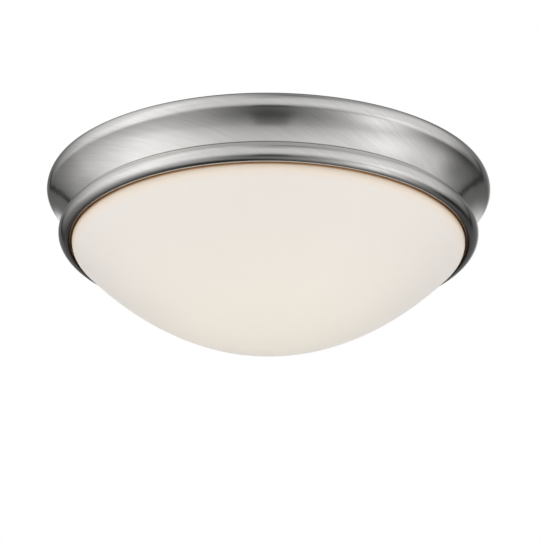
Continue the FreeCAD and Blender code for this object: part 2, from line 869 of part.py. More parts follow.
def build_parts():
    parts = {
        "pan": build_pan(),
        "insulation_pad": build_insulation_pad(),
        "wire_bushing": build_wire_bushing(),
        "box_bar": build_box_bar(),
        "stud_bar": build_stud_bar(),
        "bar_pivot": build_bar_pivot(),
        "mounting_studs": build_mounting_studs(),
        "stud_nuts": build_stud_nuts(),
        "ground_screw": build_ground_screw(),
        "ground_terminal": build_ground_terminal(),
        "ground_wire": build_ground_wire(),
        "bracket_rivets": build_bracket_rivets(),
        "holder_screws": build_holder_screws(),
        "glass_ring": build_glass_ring(),
        "glass_bowl": build_glass_bowl(),
        "glass_gasket": build_glass_gasket(),
        "glass_snap_ring": build_snap_ring(),
        "black_lead_1": build_first_lead(1, "black_lead_1"),
        "white_lead_1": build_first_lead(-1, "white_lead_1"),
        "black_lead_2": build_second_lead(1, "black_lead_2"),
        "white_lead_2": build_second_lead(-1, "white_lead_2"),
    }
    for number in range(catch_count):
        parts[f"ring_catch_{number + 1}"] = build_ring_catch(number)
    for name, build in paired_parts.items():
        first = build()
        parts[f"{name}_1"] = first
        parts[f"{name}_2"] = copy_turned(first, 180)
    return parts


paired_parts = {
    "holder_bracket": build_holder_bracket,
    "lamp_holder": build_lamp_holder,
    "screw_shell": build_screw_shell,
    "centre_contact": build_centre_contact,
    "lamp_glass": build_lamp_glass,
    "lamp_cap": build_lamp_cap,
    "lamp_insulator": build_lamp_insulator,
    "lamp_tip": build_lamp_tip,
}

os.makedirs("parts", exist_ok=True)
for name, shape in build_parts().items():
    print(name, shape.isValid(), len(shape.Solids), round(shape.Volume))
    shape.exportStep(f"parts/{name}.step")
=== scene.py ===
import json
import math

import bmesh
import bpy
from mathutils import Matrix, Vector, noise


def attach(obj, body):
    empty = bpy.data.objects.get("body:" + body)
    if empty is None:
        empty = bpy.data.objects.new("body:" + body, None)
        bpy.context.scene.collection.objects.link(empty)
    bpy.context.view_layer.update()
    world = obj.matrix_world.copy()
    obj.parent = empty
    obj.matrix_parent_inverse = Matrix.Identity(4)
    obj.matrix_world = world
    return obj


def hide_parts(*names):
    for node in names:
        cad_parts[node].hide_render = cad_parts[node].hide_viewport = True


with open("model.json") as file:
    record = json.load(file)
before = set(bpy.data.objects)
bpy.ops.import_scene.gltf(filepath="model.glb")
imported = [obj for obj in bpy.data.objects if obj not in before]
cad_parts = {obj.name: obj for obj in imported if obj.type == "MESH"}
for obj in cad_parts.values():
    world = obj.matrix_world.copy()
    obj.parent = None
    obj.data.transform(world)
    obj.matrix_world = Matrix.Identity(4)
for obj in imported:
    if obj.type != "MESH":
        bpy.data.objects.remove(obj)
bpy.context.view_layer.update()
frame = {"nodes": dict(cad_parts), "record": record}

mm = 0.001
fullTurn = 2 * math.pi
joinDistance = 1e-6


# Shader maths: a socket that can be added, multiplied and so on, like a number.
class Signal:
    def __init__(self, tree, socket):
        self.tree = tree
        self.socket = socket

    def maths(self, operation, *values):
        return self.tree.add("ShaderNodeMath", {"operation": operation}, dict(enumerate(values)))

    def __add__(self, other):
        return self.maths("ADD", self, other)

    def __radd__(self, other):
        return self.maths("ADD", other, self)

    def __sub__(self, other):
        return self.maths("SUBTRACT", self, other)

    def __rsub__(self, other):
        return self.maths("SUBTRACT", other, self)

    def __mul__(self, other):
        return self.maths("MULTIPLY", self, other)

    def __rmul__(self, other):
        return self.maths("MULTIPLY", other, self)

    def __pow__(self, other):
        return self.maths("POWER", self, other)

    def __rpow__(self, other):
        return self.maths("POWER", other, self)

    def __abs__(self):
        return self.maths("ABSOLUTE", self)

    def held(self, low, high):
        return self.maths("MINIMUM", self.maths("MAXIMUM", self, low), high)


class Tree:
    def __init__(self, nodeTree):
        self.nodeTree = nodeTree
        nodeTree.nodes.clear()

    def add(self, kind, settings={}, inputs={}, output=0):
        node = self.nodeTree.nodes.new(kind)
        for name, value in settings.items():
            setattr(node, name, value)
        for key, value in inputs.items():
            if isinstance(value, Signal):
                self.nodeTree.links.new(value.socket, node.inputs[key])
            else:
                node.inputs[key].default_value = value
        return Signal(self, node.outputs[output]) if len(node.outputs) else node

    def point(self):
        return self.add("ShaderNodeTexCoord", output="Object")

    def stretched(self, vector, scale, turn=(0, 0, 0), shift=(0, 0, 0)):
        inputs = {"Vector": vector, "Scale": scale, "Rotation": turn, "Location": shift}
        return self.add("ShaderNodeMapping", {}, inputs)

    def brushing(self, vector, length, width, turn):
        # turned, then drawn out: length along the strokes and width across them
        turned = self.stretched(vector, (1, 1, 1), turn)
        return self.stretched(turned, (1 / length, 1 / width, 1))

    def noise(self, vector, scale, detail=2.0, roughness=0.5, distortion=0.0):
        inputs = {"Vector": vector, "Scale": scale, "Detail": detail}
        inputs |= {"Roughness": roughness, "Distortion": distortion}
        return self.add("ShaderNodeTexNoise", {}, inputs)

    def level(self, value, fromLow, fromHigh, toLow, toHigh):
        inputs = {0: value, 1: fromLow, 2: fromHigh, 3: toLow, 4: toHigh}
        return self.add("ShaderNodeMapRange", {"clamp": True}, inputs)

    def band(self, value, start, full, lastFull, end):
        # 1 from full to lastFull, and 0 before start and past end
        return self.level(value, start, full, 0.0, 1.0) * self.level(value, lastFull, end, 1.0, 0.0)

    def blend(self, share, first, second):
        return self.add("ShaderNodeMix", {"data_type": "RGBA"}, {0: share, 6: first, 7: second}, 2)

    def bump(self, height, distance, normal=None):
        inputs = {"Height": height, "Distance": distance, "Strength": 1.0}
        if normal is not None:
            inputs["Normal"] = normal
        return self.add("ShaderNodeBump", {}, inputs)

    def parts(self, vector):
        node = self.add("ShaderNodeSeparateXYZ", {}, {"Vector": vector}).socket.node
        return [Signal(self, output) for output in node.outputs]


def tone(red, green, blue):
    # an sRGB colour of 0 to 255, as the linear colour that sockets take
    levels = [value / 255 for value in (red, green, blue)]
    return tuple(v / 12.92 if v <= 0.04045 else ((v + 0.055) / 1.055) ** 2.4 for v in levels) + (1.0,)


def newMaterial(name):
    material = bpy.data.materials.new(name)
    material.use_nodes = True
    return material, Tree(material.node_tree)


def surface(tree, inputs):
    shader = tree.add("ShaderNodeBsdfPrincipled", {}, inputs)
    tree.add("ShaderNodeOutputMaterial", {}, {"Surface": shader})


# Finishes. Each is made once, and named as the record's material slot.

brushed = {
    "base": tone(213, 212, 210),
    "dull": tone(202, 201, 199),
    "slant": -24.0,  # degrees from the way round
    "fine": (24.0, 0.8, 3.0, 0.6),  # strokes' length and width in mm, then detail and roughness
    "broad": (60.0, 3.0, 2.0, 0.55),
    "bump": 0.008,  # mm
    "roughness": (0.08, 0.16),
    "wrapRadius": 160.0,
    "meet": 0.06,  # part of a turn at the back over which the two ends of the pattern mix
    # heights and radii in mm between which a painted colour comes in: the dark edge colour is painted
    # shade on the top edge and in the crease, and the lip colour is painted shade with a painted
    # reflection of the warm glass
    "edge": tone(58, 56, 54),
    "topEdgeShade": (-0.9, -0.2), "topEdgeShadeShare": 0.8,
    "creaseShade": (-35.0, -34.3, -33.4, -32.6), "creaseShadeShare": 0.85,
    "lip": tone(96, 66, 40), "lipRadii": (149.6, 148.6), "lipHeights": (-45.0, -46.0),
}


def brushedNickel():
    material, tree = newMaterial("brushed_nickel")
    place = tree.add("ShaderNodeUVMap", {"uv_map": "brushing"})
    wrap = fullTurn * brushed["wrapRadius"]
    turn = (0, 0, math.radians(brushed["slant"]))
    meet = tree.level(tree.parts(place)[0], wrap * (0.5 - brushed["meet"]), wrap * 0.5, 0.0, 1.0)

    def strokes(length, width, detail, roughness):
        along = tree.noise(tree.brushing(place, length, width, turn), 1.0, detail, roughness)
        before = tree.stretched(place, (1, 1, 1), shift=(-wrap, 0, 0))
        other = tree.noise(tree.brushing(before, length, width, turn), 1.0, detail, roughness)
        return along + (other - along) * meet

    fine = strokes(*brushed["fine"])
    broad = strokes(*brushed["broad"])
    height = fine * 0.5 + broad
    share = tree.level(fine, 0.35, 0.65, 0.0, 0.6) + tree.level(broad, 0.35, 0.65, 0.0, 0.4)
    finish = tree.blend(share, brushed["base"], brushed["dull"])
    # painted shade: the top edge and the crease where the ring meets the pan are painted dark, and the
    # ring's lip is painted dark brown as shade and as a reflection of the warm glass
    x, y, z = tree.parts(tree.point())
    rise = z * (1 / mm)
    # painted shade and painted reflection on the ring's lip
    inward = tree.level((x * x + y * y) ** 0.5 * (1 / mm), *brushed["lipRadii"], 0.0, 1.0)
    below = tree.level(rise, *brushed["lipHeights"], 0.0, 1.0)
    finish = tree.blend(inward * below, finish, brushed["lip"])
    # painted shade along the top edge and in the crease
    edge = tree.level(rise, *brushed["topEdgeShade"], 0.0, brushed["topEdgeShadeShare"])
    creaseShade = tree.band(rise, *brushed["creaseShade"])
    low, high = brushed["roughness"]
    surface(tree, {
        "Base Color": tree.blend(edge + creaseShade * brushed["creaseShadeShare"], finish, brushed["edge"]),
        "Roughness": tree.level(fine * 0.6 + broad * 0.4, 0.35, 0.65, low, high),
        "Metallic": 1.0,
        "Normal": tree.bump(height, brushed["bump"] * mm),
    })
    return material


opal = {
    # the bottom colour is brighter than the top as painted light, and warmer in tint
    "top": tone(244, 237, 230),
    "bottom": tone(255, 245, 232),
    "paintedLightFrom": -75.0, "paintedLightTo": -125.0,  # heights in mm
    # painted shade: the peach, gold rim and dark brown neck bands stand in for the warm shade the ring
    # casts on the top of the glass
    "peach": tone(252, 232, 212), "peachFrom": -57.0, "peachTo": -50.0,
    "rim": tone(214, 160, 104), "rimFrom": -49.4, "rimTo": -48.5,
    "neck": tone(92, 62, 38), "neckFrom": -48.1, "neckTo": -47.5,
    "roughness": (0.36, 0.46),
    "cloudScale": 14.0, "waveScale": 26.0, "grainScale": 5200.0,
    "waveDepth": 0.02, "grainDepth": 0.004,  # mm
    "index": 1.5, "milkiness": 0.25, "milkDepth": 4.0, "milkColour": (1.0, 0.92, 0.85),  # depth in mm
}


def opalGlass():
    material, tree = newMaterial("opal_glass")
    place = tree.point()
    height = tree.parts(place)[2] * (1 / mm)
    # painted light: brighter and warmer towards the bottom
    paintedLightAndWarmth = tree.level(height, opal["paintedLightTo"], opal["paintedLightFrom"], 1.0, 0.0)
    clouds = tree.noise(place, opal["cloudScale"], 3.0)
    share = (paintedLightAndWarmth * 0.85 + tree.level(clouds, 0.3, 0.7, -0.06, 0.06)).held(0.0, 1.0)
    shade = tree.blend(share, opal["top"], opal["bottom"])
    # painted shade in three bands under the ring
    for name in ("peach", "rim", "neck"):
        part = tree.level(height, opal[name + "From"], opal[name + "To"], 0.0, 1.0)
        shade = tree.blend(part, shade, opal[name])
    grain = tree.noise(place, opal["grainScale"], 2.0, 0.6)
    waves = tree.noise(place, opal["waveScale"], 1.0)
    low, high = opal["roughness"]
    normal = tree.bump(waves, opal["waveDepth"] * mm)
    surface(tree, {
        "Base Color": shade,
        "Roughness": tree.level(clouds + grain * 0.5, 0.5, 1.0, low, high),
        "Normal": tree.bump(grain, opal["grainDepth"] * mm, normal=normal),
        "IOR": opal["index"],
        "Subsurface Weight": opal["milkiness"],
        "Subsurface Radius": opal["milkColour"],
        "Subsurface Scale": opal["milkDepth"] * mm,
    })
    return material


def metal(name, light, dark, roughness):
    material, tree = newMaterial(name)
    place = tree.point()
    clouds = tree.noise(place, 55.0, 4.0, 0.6)
    grain = tree.noise(place, 900.0, 3.0, 0.6)
    scuffs = tree.noise(tree.stretched(place, (40.0, 900.0, 500.0)), 1.0, 2.0)
    share = tree.level(clouds, 0.35, 0.7, 0.0, 0.35) + tree.level(grain, 0.4, 0.8, 0.0, 0.3)
    low, high = roughness
    surface(tree, {
        "Base Color": tree.blend(share.held(0.0, 1.0), light, dark),
        "Roughness": tree.level(grain * 0.5 + clouds * 0.5, 0.35, 0.65, low, high),
        "Metallic": 1.0,
        "Normal": tree.bump(grain * 0.6 + scuffs * 0.4, 0.006 * mm),
    })
    return material


def zincSteel():
    # bright zinc shows crystals that differ a little in shade and hue
    material, tree = newMaterial("zinc_steel")
    place = tree.point()
    crystals = tree.add("ShaderNodeTexVoronoi", {}, {"Vector": place, "Scale": 420.0}, "Color")
    shade = tree.parts(crystals)[0]
    clouds = tree.noise(place, 70.0, 4.0, 0.6)
    rolled = tree.noise(tree.stretched(place, (60.0, 2200.0, 2200.0)), 1.0, 2.0)
    share = shade * 0.45 + tree.level(clouds, 0.4, 0.7, 0.0, 0.5)
    surface(tree, {
        "Base Color": tree.blend(share.held(0.0, 1.0), tone(205, 208, 212), tone(164, 165, 160)),
        "Roughness": tree.level(shade * 0.4 + clouds * 0.6, 0.25, 0.75, 0.24, 0.42),
        "Metallic": 1.0,
        "Normal": tree.bump(rolled * 0.7 + shade * 0.3, 0.006 * mm),
    })
    return material


def porcelain():
    material, tree = newMaterial("porcelain")
    place = tree.point()
    clouds = tree.noise(place, 40.0, 3.0)
    specks = tree.level(tree.noise(place, 900.0, 1.0), 0.74, 0.78, 0.0, 0.5)
    body = tree.blend(tree.level(clouds, 0.3, 0.7, 0.0, 1.0), tone(242, 240, 232), tone(233, 229, 217))
    surface(tree, {
        "Base Color": tree.blend(specks, body, tone(150, 135, 112)),
        "Roughness": tree.level(clouds, 0.3, 0.7, 0.1, 0.2),
        "Normal": tree.bump(tree.noise(place, 160.0, 2.0), 0.03 * mm),
        "Coat Weight": 0.5,
        "Coat Roughness": 0.06,
    })
    return material


def lampWhite():
    # glass with a fine powder coat on its inside
    material, tree = newMaterial("lamp_white")
    place = tree.point()
    clouds = tree.noise(place, 30.0, 3.0)
    powder = tree.noise(place, 3000.0, 2.0)
    share = tree.level(clouds, 0.3, 0.7, 0.0, 0.8) + powder * 0.2
    surface(tree, {
        "Base Color": tree.blend(share.held(0.0, 1.0), tone(246, 245, 241), tone(236, 233, 226)),
        "Roughness": tree.level(clouds, 0.3, 0.7, 0.16, 0.26),
        "Normal": tree.bump(powder, 0.002 * mm),
        "Coat Weight": 0.35,
        "Coat Roughness": 0.05,
    })
    return material


def plastic(name, light, dark, roughness, grainScale=1500.0):
    material, tree = newMaterial(name)
    place = tree.point()
    grain = tree.noise(place, grainScale, 2.0)
    clouds = tree.noise(place, 60.0, 3.0)
    low, high = roughness
    share = tree.level(clouds, 0.3, 0.7, 0.0, 0.7) + tree.level(grain, 0.4, 0.7, 0.0, 0.3)
    surface(tree, {
        "Base Color": tree.blend(share.held(0.0, 1.0), light, dark),
        "Roughness": tree.level(clouds, 0.3, 0.7, low, high),
        "Normal": tree.bump(grain, 0.01 * mm),
    })
    return material


def glassWool():
    material, tree = newMaterial("glass_wool")
    place = tree.point()
    layered = tree.noise(tree.stretched(place, (260.0, 900.0, 2400.0)), 1.0, 4.0, 0.7, 1.5)
    crossed = tree.noise(tree.stretched(place, (900.0, 260.0, 2400.0)), 1.0, 4.0, 0.7, 1.5)
    tufts = tree.noise(place, 90.0, 3.0, 0.6)
    share = tree.level(layered * 0.5 + crossed * 0.5, 0.36, 0.64, 0.0, 0.7)
    share = share + tree.level(tufts, 0.3, 0.7, 0.0, 0.3)
    surface(tree, {
        "Base Color": tree.blend(share, tone(238, 218, 142), tone(203, 170, 88)),
        "Roughness": tree.level(layered, 0.3, 0.7, 0.8, 1.0),
        "Normal": tree.bump(layered + crossed, 0.5 * mm),
        "Sheen Weight": 0.3,
        "Sheen Roughness": 0.5,
    })
    return material


finishes = {
    "brushed_nickel": brushedNickel(),
    "opal_glass": opalGlass(),
    "zinc_steel": zincSteel(),
    "spring_steel": metal("spring_steel", tone(172, 174, 178), tone(128, 126, 122), (0.2, 0.34)),
    "green_zinc": metal("green_zinc", tone(62, 150, 82), tone(36, 104, 54), (0.22, 0.36)),
    "copper": metal("copper", tone(222, 152, 116), tone(166, 98, 68), (0.2, 0.38)),
    "brass": metal("brass", tone(222, 190, 112), tone(178, 142, 76), (0.2, 0.34)),
    "cap_metal": metal("cap_metal", tone(214, 212, 206), tone(182, 178, 170), (0.22, 0.36)),
    "porcelain": porcelain(),
    "lamp_white": lampWhite(),
    "cap_glass": plastic("cap_glass", tone(22, 22, 26), tone(40, 38, 44), (0.04, 0.12), 300.0),
    "black_nylon": plastic("black_nylon", tone(30, 30, 31), tone(42, 42, 43), (0.38, 0.55)),
    "black_wire": plastic("black_wire", tone(24, 24, 25), tone(38, 38, 38), (0.26, 0.4)),
    "white_wire": plastic("white_wire", tone(236, 235, 230), tone(222, 219, 210), (0.28, 0.42)),
    "glass_wool": glassWool(),
    "silicone": plastic("silicone", tone(232, 231, 226), tone(216, 214, 207), (0.45, 0.6)),
}
slotOf = {row["node"]: row["material_slot"] for row in frame["record"]["subparts"]}
bodies = frame["record"]["behaviour"]["bodies"]
bodyOf = {node: body for body, nodes in bodies.items() for node in nodes}
print("finishes", len(finishes))


# Shapes. Millimetres go in, metres come out.

class Outline:
    # a chain of points in the XZ plane, drawn by pushing out and spinning its last point
    def __init__(self, x, z):
        self.mesh = bmesh.new()
        self.last = self.mesh.verts.new((x, 0, z))

    def to(self, x, z, steps=1):
        start = self.last.co.copy()
        for step in range(1, steps + 1):
            self.last = bmesh.ops.extrude_vert_indiv(self.mesh, verts=[self.last])["verts"][0]
            self.last.co = start.lerp(Vector((x, 0, z)), step / steps)
        return self

    def round(self, x, z, degrees, steps):
        # turns the last point about a centre, clockwise as seen from the front
        made = bmesh.ops.spin(
            self.mesh, geom=[self.last], cent=(x, 0, z), axis=(0, 1, 0),
            angle=math.radians(degrees), steps=steps, use_duplicate=False,
        )
        self.last = next(item for item in made["geom_last"] if isinstance(item, bmesh.types.BMVert))
        return self

    def tallRound(self, z, degrees, steps, tall):
        # an arc about a point on the axis, stretched upwards
        start = self.last
        start.co.z = z + (start.co.z - z) / tall
        known = set(self.mesh.verts)
        self.round(0, z, degrees, steps)
        made = [vert for vert in self.mesh.verts if vert not in known or vert is start]
        bmesh.ops.scale(self.mesh, vec=(1, 1, tall), space=Matrix.Translation((0, 0, -z)), verts=made)
        return self

    def points(self):
        # the chain's points from its start, as radius and height
        self.mesh.verts.ensure_lookup_table()
        return [(vert.co.x, vert.co.z) for vert in self.mesh.verts]


def spunShape(outline, steps):
    mesh = outline.mesh
    bmesh.ops.spin(
        mesh, geom=mesh.verts[:] + mesh.edges[:], cent=(0, 0, 0), axis=(0, 0, 1),
        angle=fullTurn, steps=steps, use_merge=True,
    )
    bmesh.ops.remove_doubles(mesh, verts=mesh.verts, dist=joinDistance / mm)
    bmesh.ops.recalc_face_normals(mesh, faces=mesh.faces)
    widest = max(mesh.faces, key=lambda face: face.calc_center_median().xy.length)
    if widest.normal.xy.dot(widest.calc_center_median().xy) < 0:
        bmesh.ops.reverse_faces(mesh, faces=mesh.faces)
    return mesh


def makePiece(name, mesh, body, nodes, smoothAngle=35.0, scale=mm):
    bmesh.ops.scale(mesh, vec=(scale, scale, scale), verts=mesh.verts)
    data = bpy.data.meshes.new(name)
    mesh.to_mesh(data)
    mesh.free()
    piece = bpy.data.objects.new(name, data)
    bpy.context.scene.collection.objects.link(piece)
    data.shade_smooth()
    data.set_sharp_from_angle(angle=math.radians(smoothAngle))
    finish = slotOf[nodes[0]]
    data.materials.append(finishes[finish])
    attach(piece, body)
    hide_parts(*nodes)
    return piece


def layBrushing(data, points, flatRadius):
    # UV in millimetres: flat on the sheet inside a radius, and outside it round and down
    lengths = [0.0]
    for (r0, z0), (r1, z1) in zip(points, points[1:]):
        lengths.append(lengths[-1] + math.hypot(r1 - r0, z1 - z0))
    flatLength = next(length for (radius, _), length in zip(points, lengths) if radius > flatRadius)
    layer = data.uv_layers.new(name="brushing")
    found = {}
    for face in data.polygons:
        middle = math.atan2(face.center.x, -face.center.y)
        inside = face.center.xy.length < flatRadius * mm
        for index in face.loop_indices:
            spot = data.vertices[data.loops[index].vertex_index].co / mm
            key = (round(spot.xy.length, 2), round(spot.z, 2))
            if key not in found:
                gaps = [math.dist(point, key) for point in points]
                found[key] = lengths[gaps.index(min(gaps))]
            angle = math.atan2(spot.x, -spot.y)
            angle -= fullTurn * round((angle - middle) / fullTurn)
            flat = inside and found[key] <= flatLength
            layer.data[index].uv = spot.xy if flat else (angle * brushed["wrapRadius"], found[key])


def settle(piece, modifier):
    # the modifier's result becomes the piece's own mesh
    depsgraph = bpy.context.evaluated_depsgraph_get()
    result = bpy.data.meshes.new_from_object(piece.evaluated_get(depsgraph))
    piece.modifiers.remove(modifier)
    piece.data = result


def cutAway(piece, mesh):
    # cuts closed shapes that don't touch each other out of the piece, for good
    data = bpy.data.meshes.new("cutter")
    mesh.to_mesh(data)
    mesh.free()
    cutter = bpy.data.objects.new("cutter", data)
    bpy.context.scene.collection.objects.link(cutter)
    cut = piece.modifiers.new("cut", "BOOLEAN")
    cut.object = cutter
    cut.operation = "DIFFERENCE"
    cut.solver = "EXACT"
    settle(piece, cut)
    bpy.data.objects.remove(cutter)


def addDrill(mesh, x, y, radius, bottom, top, reach=0.0, segments=56):
    # a round cutter, drawn out along Y by its reach
    place = Matrix.Translation(Vector((x, y, (bottom + top) / 2)) * mm)
    made = bmesh.ops.create_cone(
        mesh, cap_ends=True, segments=segments, radius1=radius * mm, radius2=radius * mm,
        depth=(top - bottom) * mm, matrix=place,
    )
    ahead = [vert for vert in made["verts"] if vert.co.y > (y - joinDistance) * mm]
    bmesh.ops.translate(mesh, vec=(0, reach * mm, 0), verts=ahead)


# Pan: the sheet that lies on the ceiling.
pan = {
    "sheet": 0.9,
    "radius": 165.0, "rollRadius": 7.0, "rollHeight": -7.05,
    "shoulderRadius": 10.8, "cornerRadius": 1.6,
    "coveRadius": 47.0, "coveTurn": 46.0, "waistBend": 20.0, "waistTurn": 16.0, "skirtEnd": -40.0,
    "recessFloor": -11.1, "recessFloorRadius": 54.0, "recessMouthRadius": 60.0, "recessBend": 3.0,
    "drillFrom": -16.0, "drillTo": 4.0,
    "segments": 288,
}


def panOutline():
    # from the middle of the recess, out over the rim and down the side
    side = math.atan2(-pan["recessFloor"], pan["recessMouthRadius"] - pan["recessFloorRadius"])
    lean = math.degrees(side)
    cut = pan["recessBend"] * math.tan(side / 2)
    drop = -pan["rollHeight"] - pan["cornerRadius"]
    reach = pan["shoulderRadius"] - pan["cornerRadius"]
    shoulderX = pan["radius"] - pan["shoulderRadius"]
    rollX = pan["radius"] - pan["rollRadius"]
    cornerX = shoulderX + math.sqrt(reach**2 - drop**2)
    shoulderStart = math.degrees(math.asin(drop / reach))
    outline = Outline(0, pan["recessFloor"])
    outline.to(pan["recessFloorRadius"] - cut, pan["recessFloor"], 6)
    outline.round(outline.last.co.x, pan["recessFloor"] + pan["recessBend"], -lean, 8)
    outline.to(pan["recessMouthRadius"] - cut * math.cos(side), -cut * math.sin(side), 2)
    outline.round(pan["recessMouthRadius"] + cut, -pan["recessBend"], lean, 8)
    outline.to(cornerX, 0, 8)
    outline.round(cornerX, -pan["cornerRadius"], 90 - shoulderStart, 6)
    outline.round(shoulderX, pan["rollHeight"], shoulderStart, 10)
    outline.round(rollX, pan["rollHeight"], pan["coveTurn"], 22)
    turn = math.radians(pan["coveTurn"])
    reach = pan["rollRadius"] + pan["coveRadius"]
    coveX = rollX + reach * math.cos(turn)
    coveHeight = pan["rollHeight"] - reach * math.sin(turn)
    outline.round(coveX, coveHeight, pan["waistTurn"] - pan["coveTurn"], 26)
    turn = math.radians(pan["waistTurn"])
    reach = pan["coveRadius"] - pan["waistBend"]
    bendX, bendHeight = coveX - reach * math.cos(turn), coveHeight + reach * math.sin(turn)
    outline.round(bendX, bendHeight, -pan["waistTurn"], 8)
    outline.to(bendX - pan["waistBend"], pan["skirtEnd"], 2)
    return outline


def thicken(piece, sheet):
    # the wall grows inwards from the outline
    wall = piece.modifiers.new("wall", "SOLIDIFY")
    wall.thickness = sheet * mm
    wall.offset = -1
    settle(piece, wall)


def pressedSheet(name, outline, sheet, segments, body, node):
    points = outline.points()
    piece = makePiece(name, spunShape(outline, segments), body, [node])
    thicken(piece, sheet)
    return piece, points


keyholes = {"studX": 38.0, "studRadius": 2.05, "radius": 5.2, "offset": 7.0, "clear": 0.4}
wireHole = {"x": 19.0, "y": -19.0, "radius": 8.0}
groundScrew = {"x": 38.0, "y": -29.0}
rivets = {"x": 111.0, "y": 38.0, "step": 11.0, "radius": 1.6}


def makePan():
    piece, points = pressedSheet(
        "pan_sheet", panOutline(), pan["sheet"], pan["segments"], "fixture", "pan"
    )
    low, high = pan["drillFrom"], pan["drillTo"]
    holes = bmesh.new()
    addDrill(holes, wireHole["x"], wireHole["y"], wireHole["radius"], low, high)
    addDrill(holes, groundScrew["x"], groundScrew["y"], keyholes["studRadius"], low, high)
    for side in (1, -1):
        addDrill(holes, side * keyholes["studX"], keyholes["offset"], keyholes["radius"], low, high)
        for step in (1, -1):
            y = side * (rivets["y"] + step * rivets["step"])
            addDrill(holes, side * rivets["x"], y, rivets["radius"], low, high)
    cutAway(piece, holes)
    slots = bmesh.new()
    slotRadius = keyholes["studRadius"] + keyholes["clear"]
    for side in (1, -1):
        addDrill(slots, side * keyholes["studX"], 0, slotRadius, low, high, keyholes["offset"])
    cutAway(piece, slots)
    layBrushing(piece.data, points, pan["radius"] - pan["shoulderRadius"])
    piece.data.set_sharp_from_angle(angle=math.radians(35))


# Glass ring: a bead of sheet, open towards the inside.
bead = {
    "sheet": 0.8, "radius": 156.0, "depth": -42.26, "upperRadius": 9.5, "lowerRadius": 6.56,
    "topX": 150.9, "lipX": 147.2, "segments": 288,
}


def makeGlassRing():
    # rounder below its widest circle than above it
    upperX, lowerX = bead["radius"] - bead["upperRadius"], bead["radius"] - bead["lowerRadius"]
    start = math.acos((bead["topX"] - upperX) / bead["upperRadius"])
    end = math.acos((bead["lipX"] - lowerX) / bead["lowerRadius"])
    outline = Outline(bead["topX"], bead["depth"] + bead["upperRadius"] * math.sin(start))
    outline.round(upperX, bead["depth"], math.degrees(start), 24)
    outline.round(lowerX, bead["depth"], math.degrees(end), 40)
    piece, points = pressedSheet(
        "ring_bead", outline, bead["sheet"], bead["segments"], "ring", "glass_ring"
    )
    layBrushing(piece.data, points, 0)


# Opal bowl: an ellipse turned into a dish, with a neck and a flange that sits in the ring.
bowl = {
    "semiWidth": 282.4, "semiHeight": 515.7, "bottom": -126.4, "edge": 143.4, "neck": 145.9,
    "thickness": 3.5, "insideShare": 0.73,
    "flange": 149.5, "flangeBottom": -46.8, "flangeTop": -41.8, "edgeRound": 1.0,
    "steps": 60, "segments": 256,
}


def bowlSide(inset):
    # part of an ellipse, then an arc that turns upright into the neck
    semiWidth, semiHeight = bowl["semiWidth"] - inset, bowl["semiHeight"] - inset
    edge, neck = bowl["edge"] - inset * bowl["insideShare"], bowl["neck"] - inset
    bottom = bowl["bottom"] + inset
    turn = math.asin(edge / semiWidth)
    facing = math.pi / 2 - math.atan2(semiHeight * math.sin(turn), semiWidth * math.cos(turn))
    radius = (neck - edge) / (1 - math.cos(facing))
    outline = Outline(0, bottom)
    tall = semiHeight / semiWidth
    outline.tallRound(bottom + semiHeight, -math.degrees(turn), bowl["steps"], tall)
    bendHeight = outline.last.co.z + radius * math.sin(facing)
    outline.round(neck - radius, bendHeight, -math.degrees(facing), 12)
    return outline


def makeBowl():
    inside = bowl["neck"] - bowl["thickness"]
    corner = bowl["edgeRound"]
    outer = bowlSide(0)
    outer.to(bowl["neck"], bowl["flangeBottom"], 2)
    outer.to(bowl["flange"] - corner / 2, bowl["flangeBottom"])
    outer.round(bowl["flange"] - corner / 2, bowl["flangeBottom"] + corner / 2, -90, 4)
    outer.to(bowl["flange"], bowl["flangeTop"] - corner)
    outer.round(bowl["flange"] - corner, bowl["flangeTop"] - corner, -90, 6)
    outer.to(inside + corner, bowl["flangeTop"], 2)
    outer.round(inside + corner, bowl["flangeTop"] - corner, -90, 6)
    inner = bowlSide(bowl["thickness"])
    for radius, height in reversed(inner.points()):
        outer.to(radius, height)
    inner.mesh.free()
    makePiece("opal_bowl", spunShape(outer, bowl["segments"]), "ring", ["glass_bowl"])


# Insulation: a disc of glass wool, fuller in the middle and ragged at its edge.
wool = {
    "radius": 49.0, "bottom": -11.1, "top": -4.6, "edgeRound": 2.4, "thinEdge": 0.9,
    "fullShare": 0.7,  # part of the radius that has the full height
    "wireClear": 2.0, "screwClear": 0.95, "studClear": 1.5, "drillPast": 2.0,
    "tufts": (0.45, 9.0), "fibres": (0.22, 2.6),  # height and size in mm
    "segments": 180,
}


